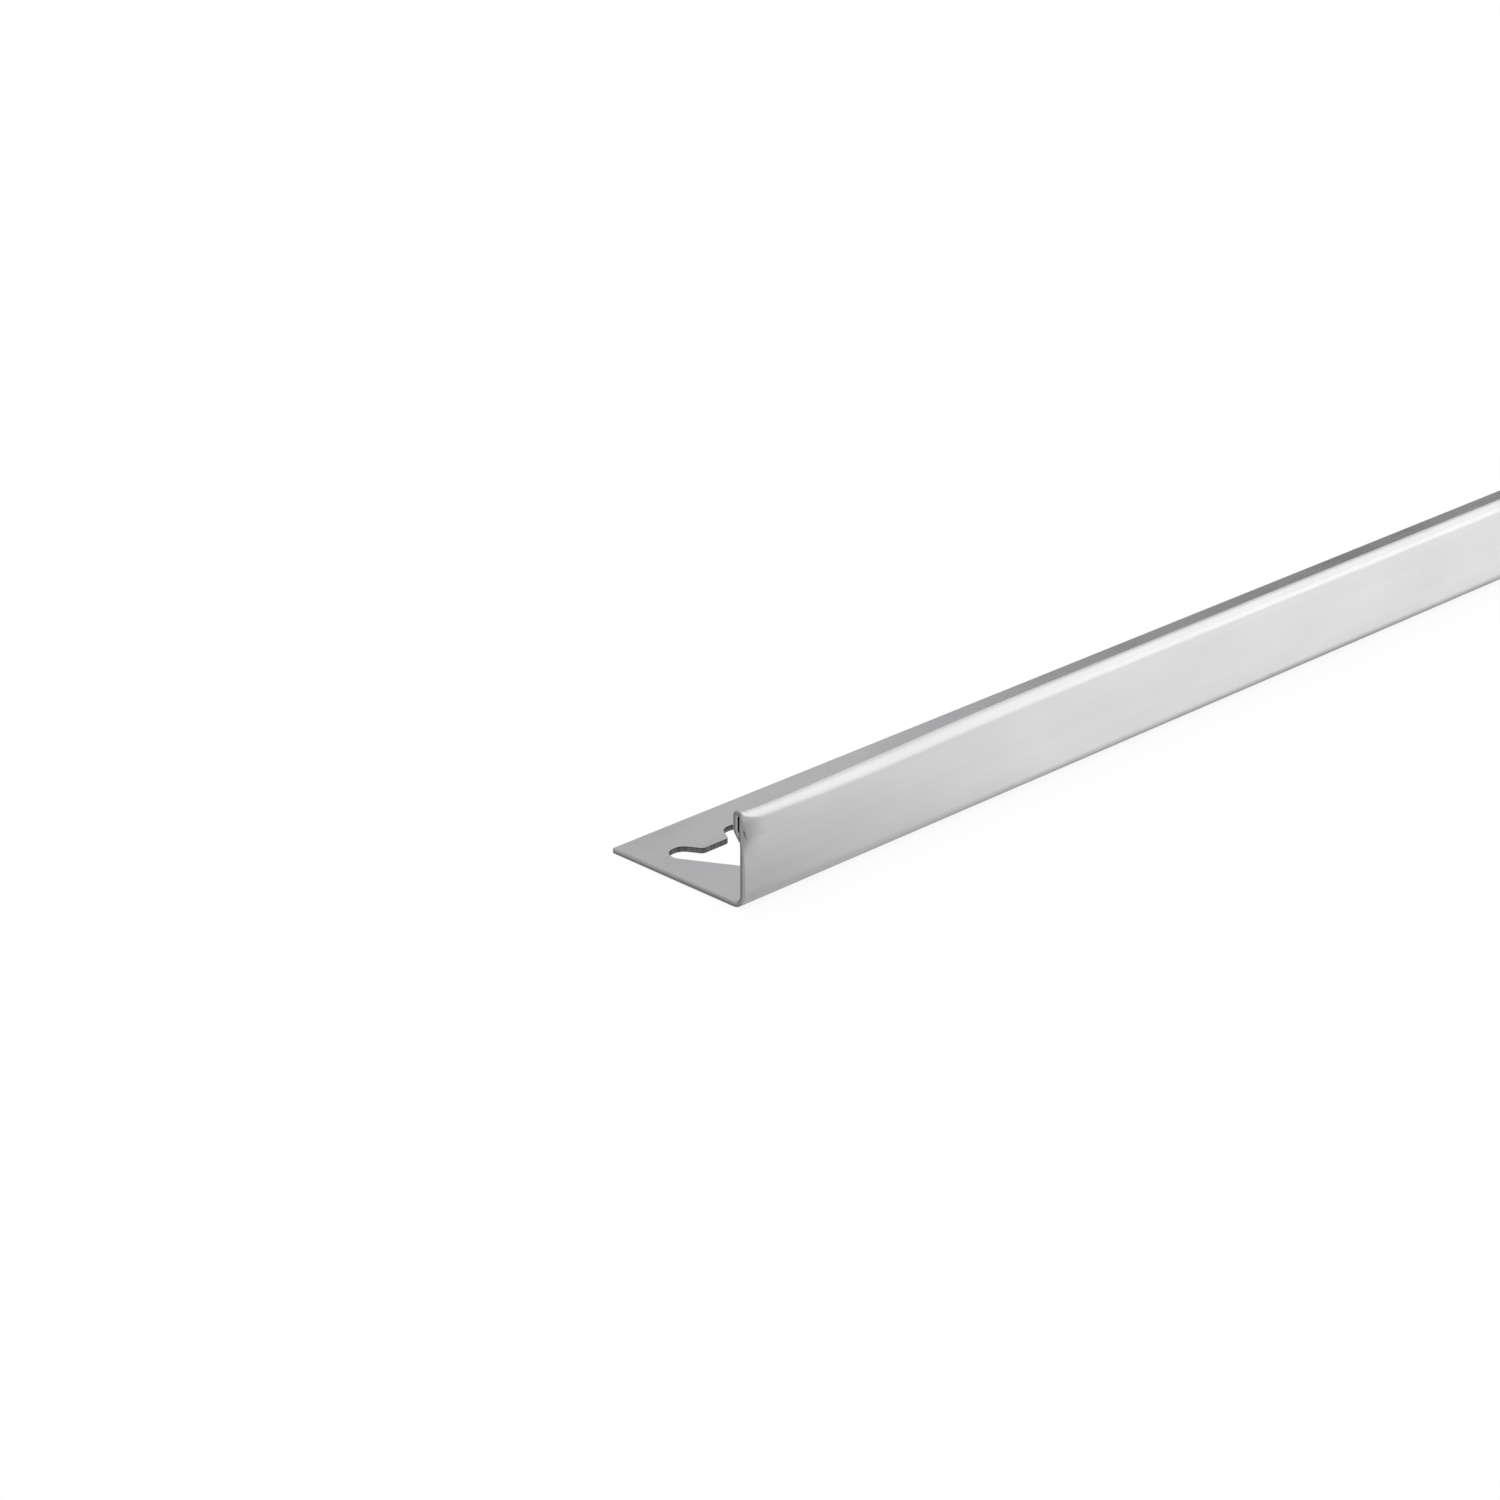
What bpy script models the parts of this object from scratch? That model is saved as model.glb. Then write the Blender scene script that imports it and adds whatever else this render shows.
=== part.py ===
"""Stainless steel edge trim for the open edge of a tiled surface.

One strip of sheet is roll formed into an angle. The perforated leg lies in the
tile adhesive, the wall covers the cut edge of the tile, and the top of the wall
is folded back over itself into a rounded, hollow head.

The bar lies along X with the outer face of the wall looking along -Y. The
origin is in the middle of the bar's footprint, on the floor.
"""

import math

import bmesh
import bpy
from mathutils import Matrix, Vector

# Overall sizes of the bar, in metres.
LENGTH = 1.0
HEIGHT = 0.0125
LEG_WIDTH = 0.0225
SHEET = 0.0007

# Bends, measured to the outer side of the sheet.
HEEL_RADIUS = 0.0018
HEAD_RADIUS = 0.0012
HIP_RADIUS = 0.0011

# The folded edge comes down beside the wall, then slants back against it.
FOLD_DEPTH = 0.0024
LIP_DEPTH = 0.0036
LIP_GAP = 0.00006

# At each cut end the shear squeezes the hollow head, drags it down and presses
# the upper part of the wall in. The press starts at its foot and is full higher up.
CUT_HEAD_RADIUS = 0.00085
CUT_SAG = 0.0005
CUT_PRESS = 0.00012
PRESS_FOOT_DEPTH = 0.0047
PRESS_FULL_DEPTH = 0.0033
# Distance from the cut, then the shares of the full squeeze, sag and press.
CUT_STATIONS = (
    (0.0000, 1.00, 0.00, 1.00),
    (0.0006, 1.00, 0.55, 0.90),
    (0.0020, 0.95, 0.85, 0.60),
    (0.0050, 0.85, 1.00, 0.20),
    (0.0100, 0.60, 1.00, 0.00),
    (0.0150, 0.32, 0.94, 0.00),
    (0.0210, 0.10, 0.76, 0.00),
    (0.0280, 0.00, 0.55, 0.00),
    (0.0360, 0.00, 0.36, 0.00),
    (0.0440, 0.00, 0.18, 0.00),
    (0.0520, 0.00, 0.00, 0.00),
)

# Anchoring openings in the leg. Across the leg, sizes run from the outer face.
OPENING_PITCH = 0.020
OPENING_FIRST = 0.0097
OPENING_INNER_EDGE = 0.0065
OPENING_OUTER_EDGE = 0.0172
OPENING_INNER_HALF = 0.0013
OPENING_FLARE = 0.585
TONGUE_EDGE = 0.0147
TONGUE_HALF = 0.0021
INNER_CORNER = 0.0008
TONGUE_CORNER = 0.0007
# Each tip beside the tongue is a half circle, apart from this short straight piece.
PRONG_FLAT = 0.00014

# How finely curves are drawn.
HEEL_STEPS = 6
HEAD_STEPS = 12
HIP_STEPS = 3
CORNER_STEPS = 4


def clear_scene():
    """Remove whatever the file starts with."""
    for obj in list(bpy.data.objects):
        bpy.data.objects.remove(obj, do_unlink=True)


def new_collection(name, hidden=False):
    """Make a collection under the scene and return it."""
    collection = bpy.data.collections.new(name)
    bpy.context.scene.collection.children.link(collection)
    collection.hide_render = hidden
    return collection


def brushed_steel():
    """Return the material of the bare stainless sheet."""
    material = bpy.data.materials.new("brushed_stainless")
    material.use_nodes = True
    shader = material.node_tree.nodes["Principled BSDF"]
    shader.inputs["Base Color"].default_value = (0.62, 0.62, 0.63, 1.0)
    shader.inputs["Metallic"].default_value = 1.0
    shader.inputs["Roughness"].default_value = 0.34
    material.diffuse_color = (0.62, 0.62, 0.63, 1.0)
    material.metallic = 1.0
    material.roughness = 0.34
    return material


class SheetPath:
    """Follows the middle of the sheet across the section, bend by bend."""

    def __init__(self, start, heading):
        self.at = Vector(start)
        self.heading = heading
        self.outer = []
        self.inner = []
        self.mark()

    def side(self):
        """Return the direction towards the outer side of the sheet."""
        return Vector((-math.sin(self.heading), math.cos(self.heading)))

    def mark(self):
        """Note the two faces of the sheet at the present point."""
        self.outer.append(self.at + self.side() * SHEET / 2)
        self.inner.append(self.at - self.side() * SHEET / 2)

    def run(self, distance):
        """Go straight on."""
        ahead = Vector((math.cos(self.heading), math.sin(self.heading)))
        self.at = self.at + ahead * distance

    def bend(self, angle, outer_radius, steps):
        """Turn to the right around a bend of the given outer radius."""
        radius = outer_radius - SHEET / 2
        centre = self.at - self.side() * radius
        first = self.heading
        self.mark()
        for step in range(1, steps + 1):
            self.heading = first - angle * step / steps
            self.at = centre + self.side() * radius
            self.mark()


def press_in(face, press):
    """Lean one face of the upper wall, and the head on it, away from the outside."""
    foot = HEIGHT - PRESS_FOOT_DEPTH
    full = HEIGHT - PRESS_FULL_DEPTH
    for point in face:
        share = (point.y - foot) / (full - foot)
        point.x += press * min(1.0, max(0.0, share))


def section(head_radius, sag, press):
    """Return the outline of the bar's section as points across and up."""
    top = HEIGHT - sag
    fold_end = HEIGHT - FOLD_DEPTH
    lip_end = HEIGHT - LIP_DEPTH
    lip_plane = SHEET + LIP_GAP
    hip_angle = math.atan2(2 * head_radius - lip_plane, fold_end - lip_end)

    path = SheetPath((LEG_WIDTH, SHEET / 2), math.pi)
    path.run(LEG_WIDTH - HEEL_RADIUS)
    path.bend(math.pi / 2, HEEL_RADIUS, HEEL_STEPS)
    path.run(HEIGHT - PRESS_FOOT_DEPTH - HEEL_RADIUS)
    path.mark()
    path.run(PRESS_FOOT_DEPTH - PRESS_FULL_DEPTH)
    path.mark()
    path.run(top - head_radius - (HEIGHT - PRESS_FULL_DEPTH))
    path.bend(math.pi, head_radius, HEAD_STEPS)
    path.run(top - head_radius - fold_end)
    path.bend(hip_angle, HIP_RADIUS, HIP_STEPS)

    # Both faces of the slanted lip stop at the plane beside the wall.
    ahead = Vector((math.cos(path.heading), math.sin(path.heading)))
    for face in (path.outer, path.inner):
        face.append(face[-1] + ahead * (lip_plane - face[-1].x) / ahead.x)
        press_in(face, press)
    return path.outer + path.inner[::-1]


def bar_body(material, collection):
    """Skin the sections from one cut end of the bar to the other."""
    stations = []
    for distance, squeeze, sag, press in CUT_STATIONS:
        radius = HEAD_RADIUS + (CUT_HEAD_RADIUS - HEAD_RADIUS) * squeeze
        stations.append((distance - LENGTH / 2, radius, CUT_SAG * sag, CUT_PRESS * press))
    for along, *shape in reversed(stations[:]):
        stations.append((-along, *shape))

    mesh = bmesh.new()
    rings = []
    for along, *shape in stations:
        ring = []
        for across, up in section(*shape):
            ring.append(mesh.verts.new((along, across - LEG_WIDTH / 2, up)))
        rings.append(ring)
    for ring, following in zip(rings, rings[1:]):
        for index in range(len(ring)):
            after = (index + 1) % len(ring)
            mesh.faces.new((ring[index], ring[after], following[after], following[index]))
    for cut in (rings[0], rings[-1]):
        cap = mesh.faces.new(cut)
        cap.normal_update()
        bmesh.ops.triangulate(mesh, faces=[cap], ngon_method="EAR_CLIP")
    bmesh.ops.recalc_face_normals(mesh, faces=mesh.faces)

    data = bpy.data.meshes.new("edge_trim")
    mesh.to_mesh(data)
    mesh.free()
    data.materials.append(material)
    bar = bpy.data.objects.new("edge_trim", data)
    collection.objects.link(bar)
    return bar


def rounded(corners, steps):
    """Round each corner of a flat outline; a corner is x, y and its radius."""
    outline = []
    for index, (x, y, radius) in enumerate(corners):
        here = Vector((x, y))
        before = Vector(corners[index - 1][:2])
        after = Vector(corners[(index + 1) % len(corners)][:2])
        back = (before - here).normalized()
        on = (after - here).normalized()
        half = back.angle(on) / 2
        centre = here + (back + on).normalized() * radius / math.sin(half)
        start = here + back * radius / math.tan(half) - centre
        end = here + on * radius / math.tan(half) - centre
        turn = start.angle_signed(end)
        for step in range(steps + 1):
            arm = Matrix.Rotation(-turn * step / steps, 2) @ start
            outline.append(centre + arm)
    return outline


def opening_outline():
    """Return the dovetail opening with the tongue in its wide side."""
    reach = OPENING_OUTER_EDGE - OPENING_INNER_EDGE
    outer_half = OPENING_INNER_HALF + OPENING_FLARE * reach
    tongue_root = TONGUE_HALF + OPENING_FLARE * (OPENING_OUTER_EDGE - TONGUE_EDGE)
    prong_width = (outer_half - tongue_root) * math.cos(math.atan(OPENING_FLARE))
    prong_corner = (prong_width - PRONG_FLAT) / 2
    right = [
        (OPENING_INNER_HALF, OPENING_INNER_EDGE, INNER_CORNER),
        (outer_half, OPENING_OUTER_EDGE, prong_corner),
        (tongue_root, OPENING_OUTER_EDGE, prong_corner),
        (TONGUE_HALF, TONGUE_EDGE, TONGUE_CORNER),
    ]
    left = [(-x, y, radius) for x, y, radius in reversed(right)]
    return rounded(right + left, CORNER_STEPS)


def opening_punch(collection):
    """Make the row of punches that pierces the leg."""
    curve = bpy.data.curves.new("opening_punch", "CURVE")
    curve.dimensions = "2D"
    curve.fill_mode = "BOTH"
    curve.extrude = 2 * SHEET
    outline = opening_outline()
    spline = curve.splines.new("POLY")
    spline.points.add(len(outline) - 1)
    for point, place in zip(spline.points, outline):
        point.co = (place.x, place.y, 0.0, 1.0)
    spline.use_cyclic_u = True
    punch = bpy.data.objects.new("opening_punch", curve)
    collection.objects.link(punch)

    bpy.ops.object.select_all(action="DESELECT")
    bpy.context.view_layer.objects.active = punch
    punch.select_set(True)
    bpy.ops.object.convert(target="MESH")
    punch = bpy.context.view_layer.objects.active

    mesh = bmesh.new()
    mesh.from_mesh(punch.data)
    bmesh.ops.remove_doubles(mesh, verts=mesh.verts, dist=1e-7)
    bmesh.ops.recalc_face_normals(mesh, faces=mesh.faces)
    mesh.to_mesh(punch.data)
    mesh.free()

    span = LENGTH - 2 * OPENING_FIRST
    gaps = round(span / OPENING_PITCH)
    row = punch.modifiers.new("row", "ARRAY")
    row.use_relative_offset = False
    row.use_constant_offset = True
    row.constant_offset_displace = (span / gaps, 0.0, 0.0)
    row.count = gaps + 1
    punch.location = (OPENING_FIRST - LENGTH / 2, -LEG_WIDTH / 2, SHEET / 2)
    punch.display_type = "WIRE"
    punch.hide_render = True
    return punch


def main():
    """Build the bar."""
    clear_scene()
    parts = new_collection("tile_edge_trim")
    tools = new_collection("punches", hidden=True)
    bar = bar_body(brushed_steel(), parts)
    punch = opening_punch(tools)
    pierce = bar.modifiers.new("openings", "BOOLEAN")
    pierce.operation = "DIFFERENCE"
    pierce.solver = "EXACT"
    pierce.object = punch

    bpy.ops.object.select_all(action="DESELECT")
    bpy.context.view_layer.objects.active = bar
    bar.select_set(True)
    bpy.ops.object.modifier_apply(modifier=pierce.name)
    bar.data.shade_smooth()
    bar.data.set_sharp_from_angle(angle=math.radians(30))


main()
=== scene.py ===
"""The look of a brushed stainless edge trim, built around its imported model.

The bar is one strip of sheet. A perforated leg lies on the floor, a brushed
wall stands up from it, and the top of the wall is folded back over itself into
a rounded, hollow head. Both ends are sheared, which squeezes the head there.
"""

import logging
import math
from dataclasses import dataclass, field
from enum import Enum

import bmesh
import bpy
import numpy as np
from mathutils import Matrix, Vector


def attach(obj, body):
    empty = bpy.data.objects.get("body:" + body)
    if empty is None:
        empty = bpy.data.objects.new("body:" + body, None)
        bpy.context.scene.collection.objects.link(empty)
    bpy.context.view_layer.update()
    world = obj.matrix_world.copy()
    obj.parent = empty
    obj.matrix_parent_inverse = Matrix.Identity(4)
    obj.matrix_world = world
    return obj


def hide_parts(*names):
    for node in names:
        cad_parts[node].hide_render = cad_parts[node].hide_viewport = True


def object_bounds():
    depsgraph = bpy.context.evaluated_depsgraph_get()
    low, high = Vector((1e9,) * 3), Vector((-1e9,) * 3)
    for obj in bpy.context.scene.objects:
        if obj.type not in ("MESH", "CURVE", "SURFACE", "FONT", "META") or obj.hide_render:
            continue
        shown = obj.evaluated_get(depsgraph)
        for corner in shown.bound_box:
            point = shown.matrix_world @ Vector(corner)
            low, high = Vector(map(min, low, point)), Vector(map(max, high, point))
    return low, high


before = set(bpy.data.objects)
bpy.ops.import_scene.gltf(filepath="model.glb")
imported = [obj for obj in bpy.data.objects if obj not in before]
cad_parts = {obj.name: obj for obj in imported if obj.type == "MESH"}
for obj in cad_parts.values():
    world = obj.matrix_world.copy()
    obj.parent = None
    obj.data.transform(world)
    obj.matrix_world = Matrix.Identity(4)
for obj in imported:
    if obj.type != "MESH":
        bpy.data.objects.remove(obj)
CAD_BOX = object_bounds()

log = logging.getLogger("edge_trim")

# Three numbers: a colour, a place or a noise's frequencies.
Triple = tuple[float, float, float]
Socket = bpy.types.NodeSocket

NODE = "edge_trim"
WHITE = (1.0, 1.0, 1.0)

# A noise's values lie mostly between these two.
NOISE_LOW = 0.3
NOISE_HIGH = 0.7

# The colour sockets of the mix node: under, over and the mixed colour.
MIX_UNDER = 6
MIX_OVER = 7
MIXED = 2


class Patch(Enum):
    """The kinds of surface on the bar; the value is the material's place in the mesh."""

    BRUSHED = 0
    MILL = 1
    SLIT = 2
    SHEARED = 3
    PUNCHED = 4


class NodeSheet:
    """A short way to add and join shader nodes in one material or world."""

    def __init__(self, owner: bpy.types.Material | bpy.types.World) -> None:
        """Clear the owner's nodes and keep its tree.

        Args:
            owner: The material or world whose nodes are made here.
        """
        owner.use_nodes = True
        self.tree = owner.node_tree
        self.tree.nodes.clear()

    def add(self, kind: str, **settings: object) -> bpy.types.Node:
        """Add a node.

        Args:
            kind: The node's type name in Blender.
            **settings: Attributes of the node to set.

        Returns:
            The new node.
        """
        node = self.tree.nodes.new(kind)
        for name, value in settings.items():
            setattr(node, name, value)
        return node

    def join(self, start: Socket, end: Socket) -> None:
        """Link one socket to another."""
        self.tree.links.new(start, end)

    def mix_tone(self, under: Triple | Socket, over: Triple, share: Socket) -> Socket:
        """Blend between two colours.

        Args:
            under: The colour where the share is 0, or that colour's socket.
            over: The colour where the share is 1.
            share: The socket that gives the share.

        Returns:
            The blended colour's socket.
        """
        node = self.add("ShaderNodeMix", data_type="RGBA")
        if isinstance(under, tuple):
            node.inputs[MIX_UNDER].default_value = (*under, 1.0)
        else:
            self.join(under, node.inputs[MIX_UNDER])
        node.inputs[MIX_OVER].default_value = (*over, 1.0)
        self.join(share, node.inputs[0])
        return node.outputs[MIXED]

    def layer_share(self, layer: str) -> Socket:
        """Read the first value of a UV layer.

        Args:
            layer: The layer's name.

        Returns:
            The value's socket.
        """
        source = self.add("ShaderNodeUVMap", uv_map=layer)
        split = self.add("ShaderNodeSeparateXYZ")
        self.join(source.outputs["UV"], split.inputs[0])
        return split.outputs["X"]

    def bare_metal(self) -> bpy.types.Node:
        """Add a metal shader and join it to the material's output.

        Returns:
            The shader.
        """
        out = self.add("ShaderNodeOutputMaterial")
        steel = self.add("ShaderNodeBsdfPrincipled")
        steel.inputs["Metallic"].default_value = 1.0
        self.join(steel.outputs["BSDF"], out.inputs["Surface"])
        return steel

    def relieve(self, steel: bpy.types.Node, height: Socket, strength: float, depth: float) -> None:
        """Give a shader a fine relief.

        Args:
            steel: The shader.
            height: The socket of the relief's height, from 0 to 1.
            strength: How strongly the relief shows.
            depth: The full height in metres.
        """
        bump = self.add("ShaderNodeBump")
        bump.inputs["Strength"].default_value = strength
        bump.inputs["Distance"].default_value = depth
        self.join(height, bump.inputs["Height"])
        self.join(bump.outputs["Normal"], steel.inputs["Normal"])

    def spread(self, source: Socket, low: float, high: float) -> Socket:
        """Stretch a value from the middle of a noise to a range.

        Args:
            source: The socket to stretch.
            low: The result at the noise's low value.
            high: The result at its high value.

        Returns:
            The stretched value's socket.
        """
        node = self.add("ShaderNodeMapRange", clamp=True)
        node.inputs["From Min"].default_value = NOISE_LOW
        node.inputs["From Max"].default_value = NOISE_HIGH
        node.inputs["To Min"].default_value = low
        node.inputs["To Max"].default_value = high
        self.join(source, node.inputs["Value"])
        return node.outputs["Result"]

    def streaks(self, frequency: Triple, detail: float) -> Socket:
        """Make noise in the bar's own coordinates, stretched by its frequencies.

        Args:
            frequency: Waves per metre along X, Y and Z.
            detail: How many finer layers the noise has.

        Returns:
            The noise value's socket.
        """
        place = self.add("ShaderNodeTexCoord")
        stretch = self.add("ShaderNodeMapping")
        stretch.inputs["Scale"].default_value = frequency
        noise = self.add("ShaderNodeTexNoise")
        noise.inputs["Scale"].default_value = 1.0
        noise.inputs["Detail"].default_value = detail
        self.join(place.outputs["Object"], stretch.inputs["Vector"])
        self.join(stretch.outputs["Vector"], noise.inputs["Vector"])
        return noise.outputs["Fac"]


@dataclass(frozen=True)
class BrushedSheet:
    """Stainless sheet with a fine grain brushed along the bar."""

    name: str = "brushed_stainless"
    dark: Triple = (0.602, 0.601, 0.600)
    light: Triple = (0.638, 0.637, 0.636)
    smooth: float = 0.36
    rough: float = 0.40
    anisotropy: float = 0.95
    brush_turn: float = 0.25
    # Colour of the painted shade in the crease and on the crushed patch beside the cut.
    scar: Triple = (0.12, 0.12, 0.122)
    hairline: Triple = (14.0, 7000.0, 7000.0)
    band: Triple = (22.0, 1300.0, 1300.0)
    band_share: float = 0.5
    cloud: Triple = (70.0, 150.0, 150.0)
    cloud_tone: Triple = (0.955, 0.955, 0.96)
    relief: float = 0.05
    relief_depth: float = 0.00002

    def material(self) -> bpy.types.Material:
        """Build the material.

        Returns:
            The finished material.
        """
        material = bpy.data.materials.new(self.name)
        sheet = NodeSheet(material)
        steel = sheet.bare_metal()
        steel.inputs["Anisotropic"].default_value = self.anisotropy
        steel.inputs["Anisotropic Rotation"].default_value = self.brush_turn

        hairline = sheet.streaks(self.hairline, detail=4.0)
        band = sheet.streaks(self.band, detail=2.0)
        cloud = sheet.streaks(self.cloud, detail=1.0)
        grain = sheet.add("ShaderNodeMath", operation="MULTIPLY_ADD")
        grain.inputs[1].default_value = 1.0 - self.band_share
        bands = sheet.add("ShaderNodeMath", operation="MULTIPLY")
        bands.inputs[1].default_value = self.band_share
        sheet.join(hairline, grain.inputs[0])
        sheet.join(band, bands.inputs[0])
        sheet.join(bands.outputs[0], grain.inputs[2])

        tone = sheet.mix_tone(self.dark, self.light, sheet.spread(grain.outputs[0], 0.0, 1.0))
        clouded = sheet.mix_tone(self.cloud_tone, WHITE, sheet.spread(cloud, 0.0, 1.0))
        cast = sheet.add("ShaderNodeMix", data_type="RGBA", blend_type="MULTIPLY")
        cast.inputs[0].default_value = 1.0
        sheet.join(tone, cast.inputs[MIX_UNDER])
        sheet.join(clouded, cast.inputs[MIX_OVER])
        # Painted shade: the crease and the crushed patch beside the cut are darkened towards the
        # shade colour.
        shaded = sheet.mix_tone(cast.outputs[MIXED], self.scar, sheet.layer_share("scar"))
        sheet.join(shaded, steel.inputs["Base Color"])
        roughness = sheet.spread(grain.outputs[0], self.smooth, self.rough)
        sheet.join(roughness, steel.inputs["Roughness"])
        sheet.relieve(steel, hairline, self.relief, self.relief_depth)
        tangent = sheet.add("ShaderNodeTangent", direction_type="UV_MAP", uv_map="grain")
        sheet.join(tangent.outputs["Tangent"], steel.inputs["Tangent"])
        material.diffuse_color = (*self.light, 1.0)
        return material


@dataclass(frozen=True)
class MillSheet:
    """The back of the sheet, as it left the rolling mill: smoother and greyer."""

    name: str = "mill_stainless"
    dark: Triple = (0.500, 0.496, 0.520)
    light: Triple = (0.536, 0.535, 0.534)
    smooth: float = 0.24
    rough: float = 0.31
    cloud: Triple = (60.0, 160.0, 160.0)
    speckle: float = 2600.0
    relief: float = 0.06
    relief_depth: float = 0.00002

    def material(self) -> bpy.types.Material:
        """Build the material.

        Returns:
            The finished material.
        """
        material = bpy.data.materials.new(self.name)
        sheet = NodeSheet(material)
        steel = sheet.bare_metal()
        cloud = sheet.streaks(self.cloud, detail=3.0)
        speckle = sheet.streaks((self.speckle,) * 3, detail=2.0)
        tone = sheet.mix_tone(self.dark, self.light, sheet.spread(cloud, 0.0, 1.0))
        sheet.join(tone, steel.inputs["Base Color"])
        sheet.join(sheet.spread(cloud, self.rough, self.smooth), steel.inputs["Roughness"])
        sheet.relieve(steel, speckle, self.relief, self.relief_depth)
        material.diffuse_color = (*self.light, 1.0)
        return material


@dataclass(frozen=True)
class BareEdge:
    """Sheet that was slit, sheared or punched through, with no brushing.

    Burnish is the colour of the side where the blade came in. It fades out
    between two shares of the way to the other side, over a ragged border.
    """

    name: str
    dark: Triple
    light: Triple
    roughness: float
    grain: Triple
    roughness_spread: float = 0.08
    relief: float = 0.25
    relief_depth: float = 0.00003
    burnish: Triple | None = None
    burnish_start: float = 0.28
    burnish_end: float = 0.58
    ragged: float = 0.12

    def material(self) -> bpy.types.Material:
        """Build the material.

        Returns:
            The finished material.
        """
        material = bpy.data.materials.new(self.name)
        sheet = NodeSheet(material)
        steel = sheet.bare_metal()
        marks = sheet.streaks(self.grain, detail=3.0)
        tone = sheet.mix_tone(self.dark, self.light, sheet.spread(marks, 0.0, 1.0))
        if self.burnish is not None:
            tone = self._burnished(sheet, marks, tone)
        sheet.join(tone, steel.inputs["Base Color"])
        rough = self.roughness + self.roughness_spread
        smooth = self.roughness - self.roughness_spread
        sheet.join(sheet.spread(marks, rough, smooth), steel.inputs["Roughness"])
        sheet.relieve(steel, marks, self.relief, self.relief_depth)
        material.diffuse_color = (*self.light, 1.0)
        return material

    def _burnished(self, sheet: NodeSheet, marks: Socket, torn: Socket) -> Socket:
        """Make the side where the blade came in lighter, with a ragged border.

        Args:
            sheet: The material's nodes.
            marks: The noise that makes the border ragged.
            torn: The colour of the side where the sheet tore.

        Returns:
            The colour of the whole cut.
        """
        ragged = sheet.add("ShaderNodeMath", operation="ADD")
        border = sheet.add("ShaderNodeMapRange", clamp=True, interpolation_type="SMOOTHSTEP")
        border.inputs["From Min"].default_value = self.burnish_start
        border.inputs["From Max"].default_value = self.burnish_end
        border.inputs["To Min"].default_value = 1.0
        border.inputs["To Max"].default_value = 0.0
        sheet.join(sheet.layer_share("grain"), ragged.inputs[0])
        sheet.join(sheet.spread(marks, -self.ragged, self.ragged), ragged.inputs[1])
        sheet.join(ragged.outputs[0], border.inputs["Value"])
        return sheet.mix_tone(torn, self.burnish, border.outputs["Result"])


@dataclass(frozen=True)
class CutState:
    """How far a section differs from the undisturbed one near a sheared end.

    The first three are shares of the full change. The rim's rounding and the
    distance from the cut are in metres.
    """

    squeeze: float = 0.0
    sag: float = 0.0
    press: float = 0.0
    rim: float = 0.0
    distance: float = math.inf


@dataclass(frozen=True)
class ShearedEnd:
    """What the shear does to the hollow head over the last stretch of the bar.

    Each row of the table holds the distance from the cut in metres, then the
    shares of the full squeeze, sag and press, which are evened out over the
    blur's reach. The blade moves across and down.
    """

    table: tuple[tuple[float, float, float, float], ...] = (
        (0.0000, 1.00, 0.00, 1.00),
        (0.0006, 1.00, 0.50, 0.90),
        (0.0020, 0.95, 0.89, 0.60),
        (0.0050, 0.85, 0.98, 0.20),
        (0.0100, 0.60, 0.99, 0.00),
        (0.0150, 0.32, 1.00, 0.00),
        (0.0210, 0.10, 0.89, 0.00),
        (0.0280, 0.00, 0.68, 0.00),
        (0.0360, 0.00, 0.34, 0.00),
        (0.0440, 0.00, 0.14, 0.00),
        (0.0520, 0.00, 0.00, 0.00),
    )
    blade: tuple[float, float] = (0.707, -0.707)
    blur_reach: float = 0.006
    blur_samples: int = 9
    rim_radius: float = 0.00003
    rim_step: float = 0.4
    reach: float = 0.056
    ring_count: int = 54
    ring_growth: float = 1.08

    def rings(self) -> list[float]:
        """Space the rings of the sheared end, close together at the cut.

        Returns:
            Their distances from the cut.
        """
        steps = [self.ring_growth**index for index in range(self.ring_count)]
        scale = (self.reach - self.rim_radius) / sum(steps)
        rings = [0.0, self.rim_step * self.rim_radius, self.rim_radius]
        for step in steps:
            rings.append(rings[-1] + step * scale)
        return rings

    def state(self, distance: float) -> CutState:
        """Give the section's change at a distance from the cut.

        Args:
            distance: Metres from the cut end.

        Returns:
            The change there.
        """
        rows = np.array(self.table)
        around = np.linspace(-0.5, 0.5, self.blur_samples)
        window = distance + around * min(self.blur_reach, distance)
        squeeze, sag, press = (
            float(np.mean(np.interp(window, rows[:, 0], rows[:, column]))) for column in (1, 2, 3)
        )
        inside = max(0.0, 1.0 - distance / self.rim_radius)
        rim = self.rim_radius * (1.0 - math.sqrt(max(0.0, 1.0 - inside * inside)))
        return CutState(squeeze, sag, press, rim, distance)


def smooth_share(value: float) -> float:
    """Ease a value from 0 to 1 and hold it outside."""
    share = min(1.0, max(0.0, value))
    return share * share * (3 - 2 * share)


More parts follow.
